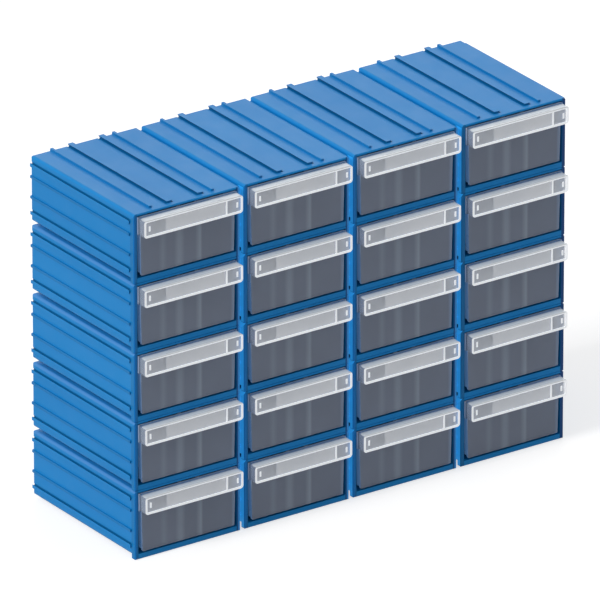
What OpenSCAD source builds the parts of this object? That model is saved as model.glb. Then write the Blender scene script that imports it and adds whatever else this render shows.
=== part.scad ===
// Block of stackable small-parts drawers.
//
// Every unit is a moulded housing with a clear drawer that pulls out of its
// front. Dovetail keys on the top and the left side of each housing slide into
// slotted rails under the housing above and on the right side of its neighbour,
// so the units lock into a block. The handle bar of each drawer holds a card.
//
// Frame: +X to the right, +Y from the front to the back, +Z up. The origin is
// at the middle of the block's foot. Columns count from the left, rows from
// the bottom.

/* [Block] */
// Number of columns of drawer units
columns = 4; // [1:1:4]
// Number of rows of drawer units
rows = 5; // [1:1:5]
// Gap between the housings of two neighbouring columns
column_gap = 4.5; // [4:0.5:7]

/* [Housing] */
// Width of a housing, without its keys and rails
housing_w = 115.5; // [105:0.5:135]
// Height of a housing, which is the pitch of the rows
housing_h = 68; // [62:1:90]
// Depth of a housing from front to back
housing_d = 165; // [155:1:210]
// Thickness of the side walls and of the back
wall_t = 2.2; // [1.8:0.1:3]
// Thickness of the top wall
top_t = 1.8; // [1.5:0.1:2.6]
// Thickness of the floor
floor_t = 1.8; // [1.5:0.1:2.6]
// Height of the hollow under the floor, where the housing below has its keys
belly_h = 3.4; // [3:0.1:5]
// Depth of the full-height flange at the front
flange_d = 5; // [4:0.5:8]
// Width of the front stile on each side of the drawer
stile_w = 3.8; // [3.4:0.1:4.5]
// Radius of the front edges of the flange
edge_r = 0.9; // [0.5:0.1:1.4]
// Radius of the long upper edges
top_edge_r = 2.6; // [1.2:0.1:3]
// Radius of the long lower edges behind the flange
belly_edge_r = 3.6; // [2.4:0.1:6]
// Distance from the top wall to the foot of the shoulders that guide the drawer's rim
shoulder_h = 7; // [6:0.5:10]

/* [Keys and rails] */
// Height of the dovetail keys and plain ribs on the top
top_rib_h = 2.2; // [1.6:0.1:2.6]
// Width of a top key across its wide outer face
top_key_w = 5.6; // [4.6:0.1:7]
// Width of a plain top rib
top_rib_w = 3.2; // [2:0.1:4]
// Distance from the left side to the middle of the left top key
top_key_left = 42.5; // [40:0.5:48]
// Distance from the right side to the middle of the right top key
top_key_right = 39.5; // [38:0.5:44]
// Distance from the left side to the middle of the left plain top rib
top_rib_left = 22; // [18:0.5:26]
// Distance from the right side to the middle of the right plain top rib
top_rib_right = 26; // [18:0.5:27]
// Height of the keys and plain ribs on the left side
side_rib_h = 1.4; // [1:0.1:1.8]
// Width of a side key across its wide outer face
side_key_w = 3.4; // [3:0.1:4.5]
// Width of a plain side rib
side_rib_w = 2.8; // [1.4:0.1:3.4]
// Distance from the floor's underside to the middle of the lower side key
side_key_low = 9; // [7:0.1:10]
// Distance from the top to the middle of the upper side key
side_key_high = 8.6; // [8:0.1:10]
// Distance from the lower side key to the lower plain side rib
side_rib_low = 15.4; // [10:0.1:18]
// Distance from the upper side key to the upper plain side rib
side_rib_high = 11.6; // [10:0.1:14]
// How far each flank of a top key leans out over its height
top_undercut = 1.2; // [0.6:0.1:1.4]
// How far each flank of a side key leans out over its height
side_undercut = 0.8; // [0.4:0.1:1]
// Width of the groove along the foot of each flank of a top key
top_groove_w = 2.6; // [1.6:0.1:3]
// Width of the groove along the foot of the upper flank of a side key
side_groove_w = 2.2; // [1.2:0.1:2.4]
// Depth of the grooves along the feet of the keys
key_groove_d = 1; // [0.6:0.1:1.2]
// Play between a key and the slot that takes it
key_play = 0.25; // [0.15:0.05:0.4]
// Width of the rail on each side of its slot
rail_lip_w = 3; // [2:0.1:4]
// Distance from the flange to the front end of the rails
rail_setback = 3; // [1:0.5:10]

/* [Drawer] */
// Play between the drawer and its guides in the housing
drawer_play = 0.4; // [0.3:0.05:0.5]
// Gap over the front of the drawer
front_top_gap = 1.3; // [0.8:0.1:1.6]
// How far the drawer's front stands out of the flange
front_proud = 1.2; // [0.5:0.1:2]
// Thickness of the drawer's front
front_t = 2; // [1.6:0.1:2.6]
// Thickness of the drawer's sides and back
drawer_wall_t = 1.5; // [1.2:0.1:2]
// Thickness of the drawer's bottom
drawer_floor_t = 1.6; // [1.3:0.1:2.2]
// How far the rim stands out from the drawer's sides
rim_out = 1.8; // [1.4:0.1:2.2]
// Height of the rim
rim_h = 2.2; // [1.6:0.1:3]
// How far each side leans in from the rim to the bottom
drawer_draft = 1.5; // [0.5:0.1:2]
// Radius of the drawer's upright edges
drawer_edge_r = 4; // [3:0.5:8]
// Space behind the closed drawer
back_space = 4; // [2:0.5:10]
// Height of the runners on the housing's floor
runner_h = 2.1; // [1.5:0.1:3]
// Width of a runner
runner_w = 3; // [2:0.1:4]
// Distance from the middle to each runner
runner_x = 38; // [20:1:42]
// Travel of the drawer from closed to its stop
travel = 125; // [90:1:130]
// Height of the stop lip under the top wall
stop_lip_h = 2.2; // [1.8:0.1:3]
// Thickness of the stop lip, front to back
stop_lip_t = 2; // [1.5:0.1:3]
// Width of each stop lip, inward from the shoulder
stop_lip_w = 13; // [8:1:20]
// Space between the closed drawer's front and the stop lip behind it
stop_lip_space = 2; // [1:0.5:3]
// Length of the stop lug on the drawer's rim
stop_lug_l = 6; // [4:0.5:10]
// Width of the stop lug on the drawer's rim
stop_lug_w = 8; // [5:0.5:10]

/* [Divider guides] */
// Distance from the drawer's front to the first pair of divider guides
guide_first = 56.5; // [30:0.5:60]
// Distance between pairs of divider guides
guide_pitch = 28.7; // [20:0.1:40]
// Width of the slot between two guide ribs
guide_slot = 1.6; // [1.2:0.1:2.4]
// Width of a guide rib
guide_rib_w = 1.2; // [0.8:0.1:2]
// How far a guide rib stands in from the side
guide_rib_in = 1.3; // [0.8:0.1:2]

/* [Handle and label] */
// How far the handle bar stands out of the drawer's front
handle_out = 9.4; // [9:0.1:16]
// Height of the handle bar
handle_h = 17.2; // [15:0.1:22]
// Thickness of the handle's top and cheeks
handle_t = 1.8; // [1.4:0.1:2.4]
// Thickness of the handle's front plate, which holds the card slot
plate_t = 2.2; // [2:0.1:3]
// Radius of the handle's corners, seen from the front
handle_r = 3; // [2:0.1:4]
// Width of the raised border of the front plate
border_w = 2.2; // [1.2:0.1:2.6]
// Height of the raised border, window bar and nibs
border_h = 0.6; // [0.3:0.1:1]
// Width of the bar at the right end of the card's window
bar_w = 1.4; // [0.8:0.1:2]
// Distance from the handle's left end to the card's window
window_left = 24.2; // [15:0.1:30]
// Distance from the handle's right end to the middle of the window bar
window_right = 17.6; // [12:0.1:25]
// Width of the small upright nib at each end of the front plate
nib_w = 1.6; // [1:0.1:2.4]
// Height of a nib
nib_h = 5; // [3:0.5:8]
// Distance from each end of the handle to the middle of a nib
nib_in = 6; // [4.5:0.1:9]
// Thickness of the label card
card_t = 0.4; // [0.2:0.05:0.6]
// Play between the card and its slot
card_play = 0.2; // [0.1:0.05:0.3]
// Radius of the card's corners
card_r = 1.2; // [0.5:0.1:3]

/* [Hidden] */
$fn = 32;
eps = 0.01;
housing_blue = "#2c83c8";
drawer_smoke = "#8b919c";
card_grey = "#b9bfc6";

// Places of the units
pitch_x = housing_w + column_gap;
pitch_z = housing_h;
rail_out = column_gap - key_play;
handle_y = -front_proud - handle_out - border_h;
centre_x = (rail_out - side_rib_h) / 2;
centre_y = (housing_d + handle_y) / 2;

// Heights and half widths inside a housing
floor_z = belly_h + floor_t;
ceiling_z = housing_h - top_t;
lip_z = ceiling_z - stop_lip_h;
opening_x = housing_w / 2 - stile_w;
inner_x = housing_w / 2 - wall_t;
inner_back = housing_d - wall_t;
lip_back = front_t - front_proud + stop_lip_space + stop_lip_t;
rib_front = flange_d + drawer_play;

// Places of the keys and ribs
top_keys = [top_key_left - housing_w / 2, housing_w / 2 - top_key_right];
top_ribs = [top_rib_left - housing_w / 2, housing_w / 2 - top_rib_right];
side_keys = [belly_h + side_key_low, housing_h - side_key_high];
side_ribs = [side_keys[0] + side_rib_low, side_keys[1] - side_rib_high];

// How deep the feet of the rails reach into the floor and the side wall, which
// is rounded where the lower rail stands
floor_rail_foot = floor_t - 0.8;
side_rail_foot = wall_t - 0.4;

// The drawer
rim_x = opening_x - drawer_play;
tub_x = rim_x - rim_out;
tub_z = floor_z + runner_h + 0.3;
rim_z = lip_z - drawer_play;
tub_back = inner_back - back_space;
tub_bottom_r = 2;
front_bottom_r = 0.6;
front_z = ceiling_z - front_top_gap;
handle_z = front_z - handle_h;
lug_front = lip_back + travel + 0.3;
lug_top = ceiling_z - drawer_play;

// The card and its slot
plate_front = -front_proud - handle_out;
slot_t = card_t + 2 * card_play;
slot_front = plate_front + (plate_t - slot_t) / 2;
window_x0 = window_left - rim_x;
window_bar_x = rim_x - window_right;
window_x1 = window_bar_x - bar_w / 2;
slot_z = handle_z + border_w;
border_r = max(handle_r - border_w, 0.3);

function node_name(kind, c, r) = str(kind, "_c", c, "r", r);

// ---- Shared profiles and moves ----

// Extrudes an outline drawn in X and Z from y0 to y1
module along_y(y0, y1) {
    translate([0, y1, 0]) rotate([90, 0, 0]) linear_extrude(y1 - y0) children();
}

// Extrudes an outline drawn in Y and Z from x0 to x1
module along_x(x0, x1) {
    translate([x0, 0, 0]) rotate([90, 0, 90]) linear_extrude(x1 - x0) children();
}

// Rectangle from corner [x0, y0] to corner [x1, y1], with one radius for its
// two lower corners and one for its two upper ones
module rounded(x0, y0, x1, y1, low_r, high_r) {
    translate([x0, y0 + low_r]) square([x1 - x0, y1 - y0 - low_r - high_r]);
    translate([x0 + low_r, y0]) square([x1 - x0 - 2 * low_r, low_r + eps]);
    translate([x0 + high_r, y1 - high_r - eps]) square([x1 - x0 - 2 * high_r, high_r + eps]);
    for (x = [x0 + low_r, x1 - low_r]) translate([x, y0 + low_r]) circle(low_r);
    for (x = [x0 + high_r, x1 - high_r]) translate([x, y1 - high_r]) circle(high_r);
}

module both_sides() {
    children();
    mirror([1, 0, 0]) children();
}

// Profile of a dovetail key that stands on y = 0. grow widens it all round
// for its slot, and sink carries its foot below y = 0
module key_profile(width, height, undercut, grow = 0, sink = key_groove_d) {
    tip = width / 2 + grow;
    foot = tip - undercut;
    top = height + grow;
    polygon([[-foot, -sink], [-foot, 0], [-tip, top], [tip, top], [foot, 0], [foot, -sink]]);
}

// The grooves along the foot of a key, on the sides that are named
module groove_profile(key_w, undercut, groove_w, sides) {
    foot = key_w / 2 - undercut;
    for (side = sides)
        translate([side * (foot + groove_w / 2), 0])
            square([groove_w, 2 * key_groove_d], center = true);
}

// Plain rib with a slight draft, on y = 0
module rib_profile(width, height) {
    draft = height / 6;
    polygon([
        [-width / 2, -key_groove_d], [-width / 2, 0], [-width / 2 + draft, height],
        [width / 2 - draft, height], [width / 2, 0], [width / 2, -key_groove_d]
    ]);
}

// Slotted rail on y = 0, height high, with its slot open at the far face and
// its foot carried below y = 0
module rail_profile(height, foot, key_w, key_h, undercut) {
    half = key_w / 2 + key_play + rail_lip_w;
    difference() {
        translate([-half, -foot]) square([2 * half, height + foot]);
        translate([0, height]) mirror([0, 1]) key_profile(key_w, key_h, undercut, key_play);
    }
}

// Puts a profile on the top of the housing at x, pointing up
module on_top(x) {
    translate([x, housing_h]) children();
}

// Puts a profile on the left side of the housing at height z, pointing out
module on_left(z) {
    translate([-housing_w / 2, z]) rotate(90) children();
}

// Puts a profile on the right side of the housing at height z, pointing out
module on_right(z) {
    translate([housing_w / 2, z]) rotate(-90) children();
}

// Puts a profile under the floor at x, pointing down
module under_floor(x) {
    translate([x, belly_h]) mirror([0, 1]) children();
}

// ---- Housing ----

module housing_block() {
    intersection() {
        union() {
            along_y(0, flange_d)
                rounded(-housing_w / 2, 0, housing_w / 2, housing_h, edge_r, top_edge_r);
            along_y(flange_d / 2, housing_d)
                rounded(-housing_w / 2, belly_h, housing_w / 2, housing_h, belly_edge_r, top_edge_r);
        }
        linear_extrude(housing_h)
            rounded(-housing_w / 2, 0, housing_w / 2, housing_d, edge_r, edge_r);
        along_x(-housing_w / 2, housing_w / 2)
            rounded(0, 0, housing_d, housing_h, edge_r, edge_r);
    }
}

// The hollow for the drawer: a step out behind the stiles, and shoulders
// under the top wall that are as far apart as the stiles
module housing_hollow() {
    along_y(-1, flange_d + eps)
        translate([-opening_x, floor_z]) square([2 * opening_x, ceiling_z - floor_z]);
    along_y(flange_d, inner_back) {
        translate([-opening_x, floor_z]) square([2 * opening_x, ceiling_z - floor_z]);
        rounded(-inner_x, floor_z, inner_x, ceiling_z - shoulder_h, belly_edge_r - floor_t, edge_r);
    }
}

// Dovetail keys and plain ribs on the top and the left side
module outside_ribs() {
    along_y(rib_front, housing_d) {
        for (x = top_keys) on_top(x) key_profile(top_key_w, top_rib_h, top_undercut);
        for (x = top_ribs) on_top(x) rib_profile(top_rib_w, top_rib_h);
        for (z = side_keys) on_left(z) key_profile(side_key_w, side_rib_h, side_undercut);
        for (z = side_ribs) on_left(z) rib_profile(side_rib_w, side_rib_h);
    }
}

module key_grooves() {
    along_y(rib_front, housing_d + 1) {
        for (x = top_keys)
            on_top(x) groove_profile(top_key_w, top_undercut, top_groove_w, [-1, 1]);
        for (z = side_keys)
            on_left(z) groove_profile(side_key_w, side_undercut, side_groove_w, [1]);
    }
}

// Rails that take the keys of the housing below and of the one on the right
module outside_rails() {
    along_y(flange_d + rail_setback, housing_d - edge_r) {
        for (x = top_keys)
            under_floor(x)
                rail_profile(belly_h, floor_rail_foot, top_key_w, top_rib_h, top_undercut);
        for (z = side_keys)
            on_right(z)
                rail_profile(rail_out, side_rail_foot, side_key_w, side_rib_h, side_undercut);
    }
}

module runners() {
    both_sides()
        along_y(flange_d, inner_back + eps)
            translate([runner_x - runner_w / 2, floor_z - eps]) square([runner_w, runner_h + eps]);
}

module stop_lips() {
    both_sides()
        translate([opening_x - stop_lip_w, lip_back - stop_lip_t, lip_z])
            cube([stop_lip_w + eps, stop_lip_t, stop_lip_h + eps]);
}

module housing() {
    color(housing_blue) {
        difference() {
            housing_block();
            housing_hollow();
            key_grooves();
        }
        outside_ribs();
        outside_rails();
        runners();
        stop_lips();
    }
}

// ---- Drawer ----

// Section of the tub across its width: half width in at the top, with sides
// that lean in by the draft down to the bottom
module tub_section(in, bottom_z, bottom_r) {
    top = tub_x - in;
    lean = drawer_draft * (rim_z - bottom_z) / (rim_z - tub_z);
    foot = top - lean;
    polygon([
        [-top, rim_z + in], [-foot, bottom_z + bottom_r], [-foot + bottom_r, bottom_z],
        [foot - bottom_r, bottom_z], [foot, bottom_z + bottom_r], [top, rim_z + in]
    ]);
}

// The tub below the rim, whose front has squarer lower corners
module tub_outside() {
    intersection() {
        union() {
            along_y(-front_proud, tub_back) tub_section(0, tub_z, tub_bottom_r);
            along_y(-front_proud, front_t - front_proud) tub_section(0, tub_z, front_bottom_r);
        }
        linear_extrude(housing_h)
            rounded(-tub_x, -front_proud, tub_x, tub_back, edge_r, drawer_edge_r);
    }
}

module tub_inside() {
    back = tub_back - drawer_wall_t;
    r = drawer_edge_r - drawer_wall_t;
    intersection() {
        along_y(front_t - front_proud, back)
            tub_section(drawer_wall_t, tub_z + drawer_floor_t, tub_bottom_r);
        linear_extrude(housing_h)
            rounded(drawer_wall_t - tub_x, front_t - front_proud, tub_x - drawer_wall_t, back, r, r);
    }
}

module rim() {
    translate([0, 0, rim_z - rim_h])
        linear_extrude(rim_h)
            rounded(-rim_x, -front_proud + front_t / 2, rim_x, tub_back + rim_out, edge_r,
                drawer_edge_r + rim_out);
}

// The bar across the top of the front: its outline is that of the handle
module handle_outside() {
    along_y(plate_front, front_t - front_proud)
        rounded(-rim_x, handle_z, rim_x, front_z, handle_r, handle_r);
    along_y(-front_proud, front_t - front_proud)
        rounded(-rim_x, handle_z, rim_x, front_z, edge_r, edge_r);
}

module finger_space() {
    along_y(plate_front + plate_t, -front_proud)
        translate([handle_t - rim_x, handle_z - 1])
            square([2 * (rim_x - handle_t), handle_h + 1 - handle_t]);
}

// Raised border, window bar and nibs on the handle's front plate
module border() {
    along_y(plate_front - border_h, plate_front + eps) {
        difference() {
            rounded(-rim_x, handle_z, rim_x, front_z, handle_r, handle_r);
            rounded(border_w - rim_x, handle_z + border_w, rim_x - border_w, front_z - border_w,
                border_r, border_r);
        }
        translate([window_x1, handle_z + border_w / 2]) square([bar_w, handle_h - border_w]);
        for (x = [nib_in - rim_x, rim_x - nib_in])
            translate([x, handle_z + handle_h / 2]) square([nib_w, nib_h], center = true);
    }
}

module card_slot() {
    along_y(slot_front, slot_front + slot_t)
        translate([window_x0, slot_z]) square([window_x1 - window_x0, handle_h]);
}

// Pairs of ribs down both sides, which hold a loose divider
module divider_guides() {
    gap = (guide_slot + guide_rib_w) / 2;
    last = tub_back - drawer_edge_r - guide_slot;
    for (y = [guide_first:guide_pitch:last], side = [-gap, gap])
        intersection() {
            along_y(y + side - guide_rib_w / 2, y + side + guide_rib_w / 2) difference() {
                tub_section(drawer_wall_t / 2, tub_z + drawer_floor_t / 2, tub_bottom_r);
                tub_section(drawer_wall_t + guide_rib_in, tub_z - 1, tub_bottom_r);
            }
            translate([-rim_x, 0, tub_z]) cube([2 * rim_x, housing_d, rim_z - rim_h / 2 - tub_z]);
        }
}

module stop_lugs() {
    both_sides()
        translate([rim_x - stop_lug_w, lug_front, rim_z - rim_h / 2])
            cube([stop_lug_w - edge_r, stop_lug_l, lug_top - rim_z + rim_h / 2]);
}

module drawer() {
    color(drawer_smoke) {
        difference() {
            union() {
                tub_outside();
                rim();
                handle_outside();
                stop_lugs();
            }
            tub_inside();
            finger_space();
            card_slot();
        }
        border();
        divider_guides();
    }
}

// ---- Label card ----

module label_card() {
    card_front = slot_front + card_play;
    color(card_grey)
        along_y(card_front, card_front + card_t)
            rounded(window_x0 + card_play, slot_z + card_play, window_x1 - card_play,
                front_z - border_w, card_r, card_r);
}

// ---- The block ----

// Puts a unit in its column and row
module unit(c, r) {
    x = (c - (columns + 1) / 2) * pitch_x - centre_x;
    translate([x, -centre_y, (r - 1) * pitch_z]) children();
}

for (c = [1:columns], r = [1:rows]) {
    unit(c, r) housing();
    unit(c, r) drawer();
    unit(c, r) label_card();
}
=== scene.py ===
"""Finishes, floor, lights and camera for a block of stackable parts drawers."""

import math

import bpy
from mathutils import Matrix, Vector


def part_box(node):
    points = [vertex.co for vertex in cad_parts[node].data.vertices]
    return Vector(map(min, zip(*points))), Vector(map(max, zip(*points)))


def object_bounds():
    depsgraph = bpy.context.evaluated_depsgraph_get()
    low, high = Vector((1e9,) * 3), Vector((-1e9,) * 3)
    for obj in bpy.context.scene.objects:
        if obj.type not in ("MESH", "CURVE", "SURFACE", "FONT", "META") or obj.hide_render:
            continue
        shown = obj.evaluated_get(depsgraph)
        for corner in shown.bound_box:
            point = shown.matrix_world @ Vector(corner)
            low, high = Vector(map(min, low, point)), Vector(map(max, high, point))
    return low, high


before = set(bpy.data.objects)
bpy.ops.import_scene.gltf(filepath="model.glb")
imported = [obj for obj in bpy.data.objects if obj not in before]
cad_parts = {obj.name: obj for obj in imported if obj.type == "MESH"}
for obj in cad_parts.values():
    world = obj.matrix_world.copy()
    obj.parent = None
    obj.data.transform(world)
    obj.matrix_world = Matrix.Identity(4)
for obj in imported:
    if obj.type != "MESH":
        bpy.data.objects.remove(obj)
cad_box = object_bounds()

# ---- Sizes, in metres, that the finishes share with the part ----
BORDER_HEIGHT = 0.0006  # how far the border stands out of the handle's front plate
HANDLE_DEPTH = 0.0100  # from the border to the drawer's front
FRONT_Y = 0.0112  # from the border to the front of the housing
FLANGE_DEPTH = 0.0050
SIDE_RIB_HEIGHT = 0.0014
TOP_RIB_HEIGHT = 0.0022
GROOVE_DEPTH = 0.0010
GROOVE_START = 0.3 * GROOVE_DEPTH  # a groove's faces have their middle deeper than this
SIDE_KEYS = (0.0124, 0.0594)  # heights over the foot of the housing
SIDE_KEY_REACH = 0.0034  # from the middle of a key to the far side of its grooves
TOP_KEYS = (0.0425, 0.0760)  # from the housing's left wall
TOP_KEY_REACH = 0.0046
TOP_EDGE_RADIUS = 0.0026
BELLY_RADIUS = 0.0036
GUIDES = (0.0565, 0.0852, 0.1139, 0.1426)  # from the front of the housing
GUIDE_REACH = 0.0022
GUIDE_X = (0.0440, 0.0504)  # nearest and farthest from the middle of the drawer
SIDE_X = 0.0490  # the tub's sides lie farther than this from the middle of the drawer
RIM_X = 0.0530  # and its rim farther than this
COLUMN_STEP = 0.1200
ROW_STEP = 0.0680
FIRST_WALL_X = -0.239175  # left wall of the first column
TOLERANCE = 0.000002

# ---- Depths behind the border, in metres, between which a glow changes ----
GAP_FADE = (FRONT_Y + 0.008, FRONT_Y + 0.011)
BAR_FADE = (0.0090, 0.0058)
SIDE_FADE = (FRONT_Y + 0.0040, FRONT_Y + 0.0050)

# ---- Least part of a face's normal along an axis ----
LEANING = 0.1
TURNED = 0.5
MAINLY = 0.7
SQUARE = 0.9

# ---- Finishes, as places in the materials of a housing and of a drawer; most carry painted shade or painted light ----
WALL, RIB_SHADE, KEY_SHADE, FRONT, GAP_FLANGE_GLOW, SEAM_GLOW, TOP_SHEEN, GAP_WALL_GLOW = range(8)
TUB, BAR, BORDER, EDGE_HIGHLIGHT, CHEEK, PLATE, SIDE = range(7)

# ---- Values that materials share ----
PLASTIC_IOR = 1.49
BLUE_GLOW = (0.02, 0.22, 0.52)
CLEAR_GLOW = (0.90, 0.95, 1.0)
NO_GLOW = (0, 0, 0)
NOISE_SPAN = (0.3, 0.7)  # most of a noise lies in it
MIX_FACTOR, MIX_UNDER, MIX_OVER, MIX_RESULT = 0, 6, 7, 2  # sockets of a mix of colours

# ---- Floor and world ----
FLOOR_SIZE = 60
FLOOR_DROP = 0.0002
FLOOR_GLOW = 0.62
WORLD_LIGHT = 0.50
WORLD_SEEN = 1.0  # strength of the background where it is seen

# ---- View ----
AZIMUTH = -34.6
ELEVATION = 23.75
CAMERA_DISTANCE = 14.0
CLIP_START, CLIP_END = 1.0, 100.0
PIXELS_PER_METRE = 1097.0
IMAGE_PIXELS = 600
AIM_PIXEL = (304.4, 298.7)  # where the middle of the block's box falls in the image
AIM_HEIGHT = 0.171
SENSOR_MM = 36.0


# ---- Node helpers ----


def new_material(name):
    material = bpy.data.materials.new(name)
    material.use_nodes = True
    tree = material.node_tree
    tree.nodes.clear()
    output = tree.nodes.new("ShaderNodeOutputMaterial")
    shader = tree.nodes.new("ShaderNodeBsdfPrincipled")
    tree.links.new(shader.outputs["BSDF"], output.inputs["Surface"])
    return material, tree, shader


def noise(tree, scale, detail=2.0, stretch=(1, 1, 1)):
    """Noise in the part's own coordinates, so scale counts features per metre."""
    place = tree.nodes.new("ShaderNodeTexCoord")
    mapping = tree.nodes.new("ShaderNodeMapping")
    mapping.inputs["Scale"].default_value = stretch
    tree.links.new(place.outputs["Object"], mapping.inputs["Vector"])
    texture = tree.nodes.new("ShaderNodeTexNoise")
    texture.inputs["Scale"].default_value = scale
    texture.inputs["Detail"].default_value = detail
    tree.links.new(mapping.outputs["Vector"], texture.inputs["Vector"])
    return texture.outputs["Fac"]


def ramp(tree, source, low, high, start=0.35, end=0.65):
    """Colour that goes from low to high as source goes from start to end."""
    node = tree.nodes.new("ShaderNodeValToRGB")
    node.color_ramp.elements[0].position = start
    node.color_ramp.elements[0].color = (*low, 1)
    node.color_ramp.elements[1].position = end
    node.color_ramp.elements[1].color = (*high, 1)
    tree.links.new(source, node.inputs["Fac"])
    return node.outputs["Color"]


def place_along(tree, axis):
    """Place along an axis of the part, in metres."""
    place = tree.nodes.new("ShaderNodeTexCoord")
    split = tree.nodes.new("ShaderNodeSeparateXYZ")
    tree.links.new(place.outputs["Object"], split.inputs["Vector"])
    return split.outputs[axis]


def bands(tree, colour, stops, axis="X", start=FIRST_WALL_X, step=COLUMN_STEP):
    """Lays bands over colour, the same ones in each step along the axis.

    A stop has its place, as a share of the step, its colour and its cover.
    """
    value = place_along(tree, axis)
    for operation, number in (("SUBTRACT", start), ("DIVIDE", step), ("FRACT", 0)):
        math_node = tree.nodes.new("ShaderNodeMath")
        math_node.operation = operation
        math_node.inputs[1].default_value = number
        tree.links.new(value, math_node.inputs[0])
        value = math_node.outputs["Value"]
    node = tree.nodes.new("ShaderNodeValToRGB")
    elements = node.color_ramp.elements
    while len(elements) < len(stops):
        elements.new(0.5)
    for element, (position, tint, cover) in zip(elements, stops):
        element.position = position
        element.color = (*tint, cover)
    tree.links.new(value, node.inputs["Fac"])
    mix = tree.nodes.new("ShaderNodeMix")
    mix.data_type = "RGBA"
    tree.links.new(node.outputs["Alpha"], mix.inputs[MIX_FACTOR])
    tree.links.new(colour, mix.inputs[MIX_UNDER])
    tree.links.new(node.outputs["Color"], mix.inputs[MIX_OVER])
    return mix.outputs[MIX_RESULT]


def spread(tree, source, low, high):
    """Number that goes from low to high as a noise goes through its span."""
    node = tree.nodes.new("ShaderNodeMapRange")
    node.inputs["From Min"].default_value = NOISE_SPAN[0]
    node.inputs["From Max"].default_value = NOISE_SPAN[1]
    node.inputs["To Min"].default_value = low
    node.inputs["To Max"].default_value = high
    tree.links.new(source, node.inputs["Value"])
    return node.outputs["Result"]


def bump(tree, shader, source, strength, distance):
    node = tree.nodes.new("ShaderNodeBump")
    node.inputs["Strength"].default_value = strength
    node.inputs["Distance"].default_value = distance
    tree.links.new(source, node.inputs["Height"])
    tree.links.new(node.outputs["Normal"], shader.inputs["Normal"])


# ---- Materials ----


def housing_plastic(name, shade_factor=1.0, gloss=0.20, stops=(), glow=0.0, pale=0.0):
    """Semi-matt blue moulding with a fine spark-eroded grain and slight flow marks.

    A factor below 1 darkens the colour as painted shade, and a pale amount moves it from blue
    towards red as a painted sheen. Glow is painted light that stands for the light bouncing
    about in the narrow gaps between units and at the seams.
    """
    material, tree, shader = new_material(name)
    flow = noise(tree, 14, 3.0, (1, 0.35, 1))
    low, high = (0.003 + pale, 0.205, 0.535 - pale), (0.006 + pale, 0.222, 0.565 - pale)
    colour = ramp(tree, flow, [shade_factor * value for value in low], [shade_factor * value for value in high])
    if stops:
        colour = bands(tree, colour, stops)
    tree.links.new(colour, shader.inputs["Base Color"])
    shader.inputs["Emission Color"].default_value = (*BLUE_GLOW, 1)
    shader.inputs["Emission Strength"].default_value = glow
    tree.links.new(spread(tree, noise(tree, 55, 3.0), 0.44, 0.50), shader.inputs["Roughness"])
    bump(tree, shader, noise(tree, 1500, 1.0), strength=0.12, distance=0.00008)
    shader.inputs["IOR"].default_value = PLASTIC_IOR
    shader.inputs["Specular IOR Level"].default_value = gloss
    return material


def clear_plastic(name, low, high, alpha, glow=0.0, stops=(), **along):
    """Clear moulding: alpha stands for its haze, and glow for the light its edges gather."""
    material, tree, shader = new_material(name)
    colour = ramp(tree, noise(tree, 30, 2.0), low, high)
    if stops:
        colour = bands(tree, colour, stops, **along)
    tree.links.new(colour, shader.inputs["Base Color"])
    tree.links.new(spread(tree, noise(tree, 80, 2.0), 0.16, 0.24), shader.inputs["Roughness"])
    bump(tree, shader, noise(tree, 90, 1.0), strength=0.05, distance=0.0004)
    shader.inputs["Alpha"].default_value = alpha
    shader.inputs["IOR"].default_value = PLASTIC_IOR
    # The glow is painted light.
    shader.inputs["Emission Color"].default_value = (*CLEAR_GLOW, 1)
    shader.inputs["Emission Strength"].default_value = glow
    return material


def glow_by_depth(material, glow, fade, first, last):
    """Lets the glow's colour go from first to last between the two depths of fade."""
    # The glow is painted light.
    tree = material.node_tree
    shader = next(node for node in tree.nodes if node.type == "BSDF_PRINCIPLED")
    depth = tree.nodes.new("ShaderNodeMapRange")
    depth.inputs["From Min"].default_value = cad_box[0].y + fade[0]
    depth.inputs["From Max"].default_value = cad_box[0].y + fade[1]
    tree.links.new(place_along(tree, "Y"), depth.inputs["Value"])
    colour = ramp(tree, depth.outputs["Result"], first, last, 0.0, 1.0)
    tree.links.new(colour, shader.inputs["Emission Color"])
    shader.inputs["Emission Strength"].default_value = glow


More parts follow.
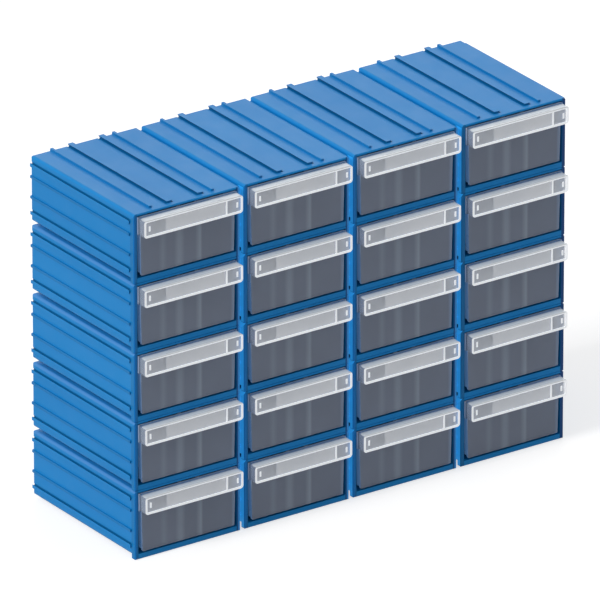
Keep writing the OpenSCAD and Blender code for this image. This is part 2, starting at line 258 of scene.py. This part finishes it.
def housing_plastics():
    """Materials of a housing, and those of one in the last column, which has no gap beside it."""
    # Painted shade and painted light on the housing's front stiles: the left stile is painted dark
    # and the right stile dark navy. In all but the last column the left stile starts in painted
    # light and the right stile ends in a painted highlight.
    left_stile_shade, right_stile_shade = (0.003, 0.131, 0.342), (0.001, 0.050, 0.190)
    left_stile_light, right_stile_light = (0.004, 0.190, 0.600), (0.045, 0.320, 0.800)
    last_stile_shades = (
        (0.031, left_stile_shade, 1), (0.034, left_stile_shade, 0),
        (0.928, right_stile_shade, 0), (0.932, right_stile_shade, 1),
    )
    stile_lights_and_shades = ((0.0, left_stile_light, 1), *last_stile_shades, (0.938, right_stile_shade, 1), (0.947, right_stile_light, 1))
    blues = [
        housing_plastic("housing_blue_plastic"),
        # Painted shade: ribs, their flanks and the flange's faces that don't face the front are
        # painted darker.
        housing_plastic("housing_rib_painted_shade_plastic", shade_factor=0.80),
        # Painted shade: the keys' undercut flanks and ends and the grooves beside them are painted
        # much darker.
        housing_plastic("housing_key_painted_shade_plastic", shade_factor=0.60, gloss=0.15),
        housing_plastic("housing_front_painted_stiles_plastic", stops=stile_lights_and_shades),
        # Painted light: the flange's side in the gap between columns is painted darker and glows,
        # as if lit.
        housing_plastic("housing_gap_painted_light_plastic", shade_factor=0.80, glow=0.8),
        # Painted light: the left rounded edges where one row meets the next are paler and glow, as
        # if lit.
        housing_plastic("housing_seam_painted_light_plastic", glow=0.12, pale=0.05),
        # Painted sheen: faces that look up are paler, a whitish sheen.
        housing_plastic("housing_top_painted_sheen_plastic", pale=0.014),
        # Painted shade and painted light: the left wall in the gap between columns is painted
        # darker and glows near the front.
        housing_plastic("housing_gap_wall_painted_light_plastic", shade_factor=0.90),
    ]
    # The gap wall's painted glow fades out from the front backwards.
    glow_by_depth(blues[GAP_WALL_GLOW], 0.9, GAP_FADE, BLUE_GLOW, NO_GLOW)
    last_blues = list(blues)
    last_blues[FRONT] = housing_plastic("housing_last_front_painted_stiles_plastic", stops=last_stile_shades)
    return blues, last_blues


def drawer_plastics():
    """Materials of a drawer.

    The tub's streaks are painted reflections and its edge bands painted highlights, and the
    border's top rim is painted a dull grey as painted shade.
    """
    # Painted highlights: paler bands along the tub's left and right edges.
    left_edge_highlight, right_edge_highlight = (0.21, 0.28, 0.40), (0.32, 0.43, 0.63)
    # Painted reflections: paler vertical streaks across the tub.
    reflection_streak, bright_reflection_streak = (0.30, 0.36, 0.46), (0.35, 0.42, 0.52)
    reflection_streaks = (
        (0.060, left_edge_highlight, 1), (0.085, left_edge_highlight, 0),
        (0.218, reflection_streak, 0), (0.258, reflection_streak, 0.6), (0.298, reflection_streak, 0),
        (0.360, reflection_streak, 0), (0.398, reflection_streak, 1), (0.420, reflection_streak, 1), (0.455, reflection_streak, 0),
        (0.550, reflection_streak, 0), (0.578, reflection_streak, 0.9), (0.596, bright_reflection_streak, 1), (0.616, reflection_streak, 0),
        (0.872, right_edge_highlight, 0), (0.897, right_edge_highlight, 1),
    )
    smoky = (0.211, 0.254, 0.347), (0.222, 0.268, 0.366)
    # Painted shade: the border's top rim is painted a dull grey, and the back of the handle's top
    # darker.
    border_top_shade, dark = (0.38, 0.40, 0.41), (0.06, 0.12, 0.22)
    border_top_shades = ((0.935, border_top_shade, 0), (0.939, border_top_shade, 1))
    shade = ((0.62, dark, 0), (0.82, dark, 1))
    clears = (
        clear_plastic("drawer_smoky_plastic", *smoky, 0.60, stops=reflection_streaks),
        clear_plastic("handle_clear_plastic", (0.32, 0.36, 0.39), (0.38, 0.42, 0.45), 0.60,
                      stops=shade, axis="Y", start=cad_box[0].y, step=HANDLE_DEPTH),
        # Painted highlight: the clear border is painted near white and glows.
        clear_plastic("border_painted_highlight_plastic", (0.92, 0.94, 0.97), (0.95, 0.96, 0.98), 0.94, 0.28,
                      border_top_shades, axis="Z", start=0.0, step=ROW_STEP),
        # Painted highlight: the drawer's left rim, rounded left front edge and divider guides are
        # paler, more opaque and glow a little.
        clear_plastic("drawer_edge_highlight_plastic", (0.34, 0.44, 0.60), (0.38, 0.48, 0.66), 0.90, 0.03),
        clear_plastic("handle_cheek_plastic", (0.60, 0.70, 0.86), (0.66, 0.76, 0.90), 0.20),
        # Painted light: the front plate glows faintly.
        clear_plastic("handle_plate_plastic", (0.82, 0.86, 0.92), (0.88, 0.91, 0.96), 0.34, 0.03),
        clear_plastic("drawer_side_painted_light_plastic", *smoky, 0.60),
    )
    # Painted light: the handle bar glows, whiter towards its front.
    glow_by_depth(clears[BAR], 0.36, BAR_FADE, (0.04, 0.14, 0.36), CLEAR_GLOW)
    # Painted light: the tub's left side glows near the front, fading out further back.
    glow_by_depth(clears[SIDE], 1.0, SIDE_FADE, (0.04, 0.12, 0.26), NO_GLOW)
    return clears


def card_paper():
    """Plain pale card with a fine fibre."""
    material, tree, shader = new_material("label_card_paper")
    fibre = noise(tree, 900, 3.0, (0.3, 1, 1))
    colour = ramp(tree, fibre, (0.88, 0.89, 0.92), (0.93, 0.94, 0.96))
    tree.links.new(colour, shader.inputs["Base Color"])
    tree.links.new(spread(tree, fibre, 0.78, 0.9), shader.inputs["Roughness"])
    bump(tree, shader, fibre, strength=0.15, distance=0.00005)
    return material


# ---- Nodes of the part ----


def near(value, places, reach):
    return any(abs(value - place) < reach for place in places)


def housing_finish(face, low, high):
    """Finish of a face of the housing whose box goes from low to high.

    x counts from the outside of its left wall and z from the outside of its top wall. The
    ribs, keys, gaps, seams and tops get finishes of painted shade or painted light.
    """
    block_low, block_high = cad_box
    left, top = low.x + SIDE_RIB_HEIGHT, high.z - TOP_RIB_HEIGHT
    inner_column = low.x > block_low.x + COLUMN_STEP / 2
    above, below = block_high.z > high.z + TOLERANCE, block_low.z < low.z - TOLERANCE
    normal = face.normal
    x, z = face.center.x - left, face.center.z - top
    height = face.center.z - low.z
    by_side_key = near(height, SIDE_KEYS, SIDE_KEY_REACH)
    by_top_key = near(x, TOP_KEYS, TOP_KEY_REACH)
    in_side_groove = by_side_key and GROOVE_START < x < GROOVE_DEPTH + TOLERANCE
    in_top_groove = by_top_key and GROOVE_START < -z < GROOVE_DEPTH + TOLERANCE
    on_flange = face.center.y - low.y < FLANGE_DEPTH - TOLERANCE
    in_gap = inner_column and not on_flange and x < BELLY_RADIUS and normal.x < LEANING
    belly = below and normal.z < -LEANING and height < BELLY_RADIUS
    brow = above and normal.z > LEANING and -z < TOP_EDGE_RADIUS
    if in_gap and (above or z < -TOP_EDGE_RADIUS):
        return GAP_WALL_GLOW
    if on_flange and z < -TOLERANCE:
        if inner_column and normal.x < -TURNED and x < TOLERANCE:
            return GAP_FLANGE_GLOW
        return FRONT if normal.y < -TURNED else RIB_SHADE
    if normal.x < -LEANING and x > -TOLERANCE and (belly or brow):
        return SEAM_GLOW
    if x < -TOLERANCE:
        if not by_side_key:
            return RIB_SHADE
        return KEY_SHADE if x > TOLERANCE - SIDE_RIB_HEIGHT else WALL
    if TOLERANCE < z < TOP_RIB_HEIGHT - TOLERANCE:
        return KEY_SHADE if by_top_key else RIB_SHADE
    if z > TOLERANCE or normal.z > SQUARE and z > -TOLERANCE:
        return TOP_SHEEN
    return KEY_SHADE if in_side_groove or in_top_groove else WALL


def drawer_finish(face, low, high):
    """Finish of a face of the drawer whose box goes from low to high."""
    normal = face.normal
    depth = face.center.y - low.y
    across = face.center.x - (low.x + high.x) / 2
    rounded = min(abs(normal.x), -normal.y) > LEANING
    if depth < BORDER_HEIGHT - TOLERANCE:
        return BORDER
    if depth < HANDLE_DEPTH - TOLERANCE:
        if abs(normal.x) > MAINLY:
            return CHEEK
        return PLATE if abs(normal.y) > MAINLY else BAR
    # Painted highlight on the left rim and the rounded left front edge.
    if across < -RIM_X and normal.x < -LEANING or rounded and across < 0:
        return EDGE_HIGHLIGHT
    if across < -SIDE_X and normal.x < -SQUARE:
        return SIDE
    # The divider guides get the painted highlight too.
    on_guide = GUIDE_X[0] < abs(across) < GUIDE_X[1] and near(depth - FRONT_Y, GUIDES, GUIDE_REACH)
    return EDGE_HIGHLIGHT if on_guide else TUB


def set_materials(obj, materials):
    obj.data.materials.clear()
    for material in materials:
        obj.data.materials.append(material)


def dress_housing(obj, plastics):
    set_materials(obj, plastics)
    low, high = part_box(obj.name)
    for face in obj.data.polygons:
        face.material_index = housing_finish(face, low, high)


def dress_drawer(obj, plastics):
    set_materials(obj, plastics)
    low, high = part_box(obj.name)
    for face in obj.data.polygons:
        face.material_index = drawer_finish(face, low, high)


def dress_nodes():
    blues, last_blues = housing_plastics()
    clears = drawer_plastics()
    paper = card_paper()
    for name, obj in sorted(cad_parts.items()):
        if name.startswith("housing"):
            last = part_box(name)[1].x > cad_box[1].x - TOLERANCE
            dress_housing(obj, last_blues if last else blues)
        elif name.startswith("drawer"):
            dress_drawer(obj, clears)
        else:
            set_materials(obj, (paper,))


# ---- Floor, light and camera ----


def seen_directly(tree):
    """1 for camera, glossy and transmission rays, and 0 for diffuse light."""
    path = tree.nodes.new("ShaderNodeLightPath")
    total = path.outputs["Is Camera Ray"]
    for name in ("Is Glossy Ray", "Is Transmission Ray"):
        add = tree.nodes.new("ShaderNodeMath")
        add.operation = "MAXIMUM"
        tree.links.new(total, add.inputs[0])
        tree.links.new(path.outputs[name], add.inputs[1])
        total = add.outputs["Value"]
    return total


def make_floor():
    """Pale floor that shows white, and keeps a soft shadow of the block."""
    bpy.ops.mesh.primitive_plane_add(size=FLOOR_SIZE, location=(0, 0, -FLOOR_DROP))
    floor = bpy.context.object
    floor.name = "floor"
    material, tree, shader = new_material("floor_white")
    shader.inputs["Base Color"].default_value = (0.5, 0.5, 0.5, 1)
    shader.inputs["Roughness"].default_value = 1.0
    shader.inputs["Specular IOR Level"].default_value = 0.0
    shader.inputs["Emission Color"].default_value = (1, 1, 1, 1)
    scale = tree.nodes.new("ShaderNodeMath")
    scale.operation = "MULTIPLY"
    scale.inputs[1].default_value = FLOOR_GLOW
    tree.links.new(seen_directly(tree), scale.inputs[0])
    tree.links.new(scale.outputs["Value"], shader.inputs["Emission Strength"])
    floor.data.materials.append(material)


def make_world():
    """White surroundings that light the block less than they show."""
    world = bpy.data.worlds.new("studio")
    bpy.context.scene.world = world
    world.use_nodes = True
    tree = world.node_tree
    tree.nodes.clear()
    output = tree.nodes.new("ShaderNodeOutputWorld")
    background = tree.nodes.new("ShaderNodeBackground")
    background.inputs["Color"].default_value = (1, 1, 1, 1)
    strength = tree.nodes.new("ShaderNodeMapRange")
    strength.inputs["To Min"].default_value = WORLD_LIGHT
    strength.inputs["To Max"].default_value = WORLD_SEEN
    tree.links.new(seen_directly(tree), strength.inputs["Value"])
    tree.links.new(strength.outputs["Result"], background.inputs["Strength"])
    tree.links.new(background.outputs["Background"], output.inputs["Surface"])


def direction(azimuth, elevation):
    """From the object towards a viewer or lamp: azimuth 0 is the front, and left is negative."""
    a, e = math.radians(azimuth), math.radians(elevation)
    return Vector((math.sin(a) * math.cos(e), -math.cos(a) * math.cos(e), math.sin(e)))


def make_sun(name, azimuth, elevation, strength, angle):
    """Sun that shines from azimuth and elevation, with angle for the softness of its shadows."""
    light = bpy.data.lights.new(name, "SUN")
    light.energy = strength
    light.angle = math.radians(angle)
    obj = bpy.data.objects.new(name, light)
    bpy.context.scene.collection.objects.link(obj)
    obj.rotation_mode = "QUATERNION"
    obj.rotation_quaternion = direction(azimuth, elevation).to_track_quat("Z", "Y")


def make_camera():
    data = bpy.data.cameras.new("camera")
    camera = bpy.data.objects.new("camera", data)
    bpy.context.scene.collection.objects.link(camera)
    back = direction(AZIMUTH, ELEVATION)
    right = Vector((math.cos(math.radians(AZIMUTH)), math.sin(math.radians(AZIMUTH)), 0))
    up = back.cross(right)
    middle = IMAGE_PIXELS / 2
    aim = (
        Vector((0, 0, AIM_HEIGHT))
        - right * (AIM_PIXEL[0] - middle) / PIXELS_PER_METRE
        + up * (AIM_PIXEL[1] - middle) / PIXELS_PER_METRE
    )
    camera.location = aim + back * CAMERA_DISTANCE
    camera.rotation_mode = "QUATERNION"
    camera.rotation_quaternion = back.to_track_quat("Z", "Y")
    data.type = "PERSP"
    data.sensor_width = SENSOR_MM
    data.lens = SENSOR_MM * CAMERA_DISTANCE * PIXELS_PER_METRE / IMAGE_PIXELS
    data.clip_start = CLIP_START
    data.clip_end = CLIP_END
    bpy.context.scene.camera = camera


make_camera()
dress_nodes()
make_floor()
make_world()
make_sun("key", azimuth=-85, elevation=40, strength=2.0, angle=18)
make_sun("sheen", azimuth=145, elevation=30, strength=0.3, angle=30)
bpy.context.scene.view_settings.view_transform = "Standard"
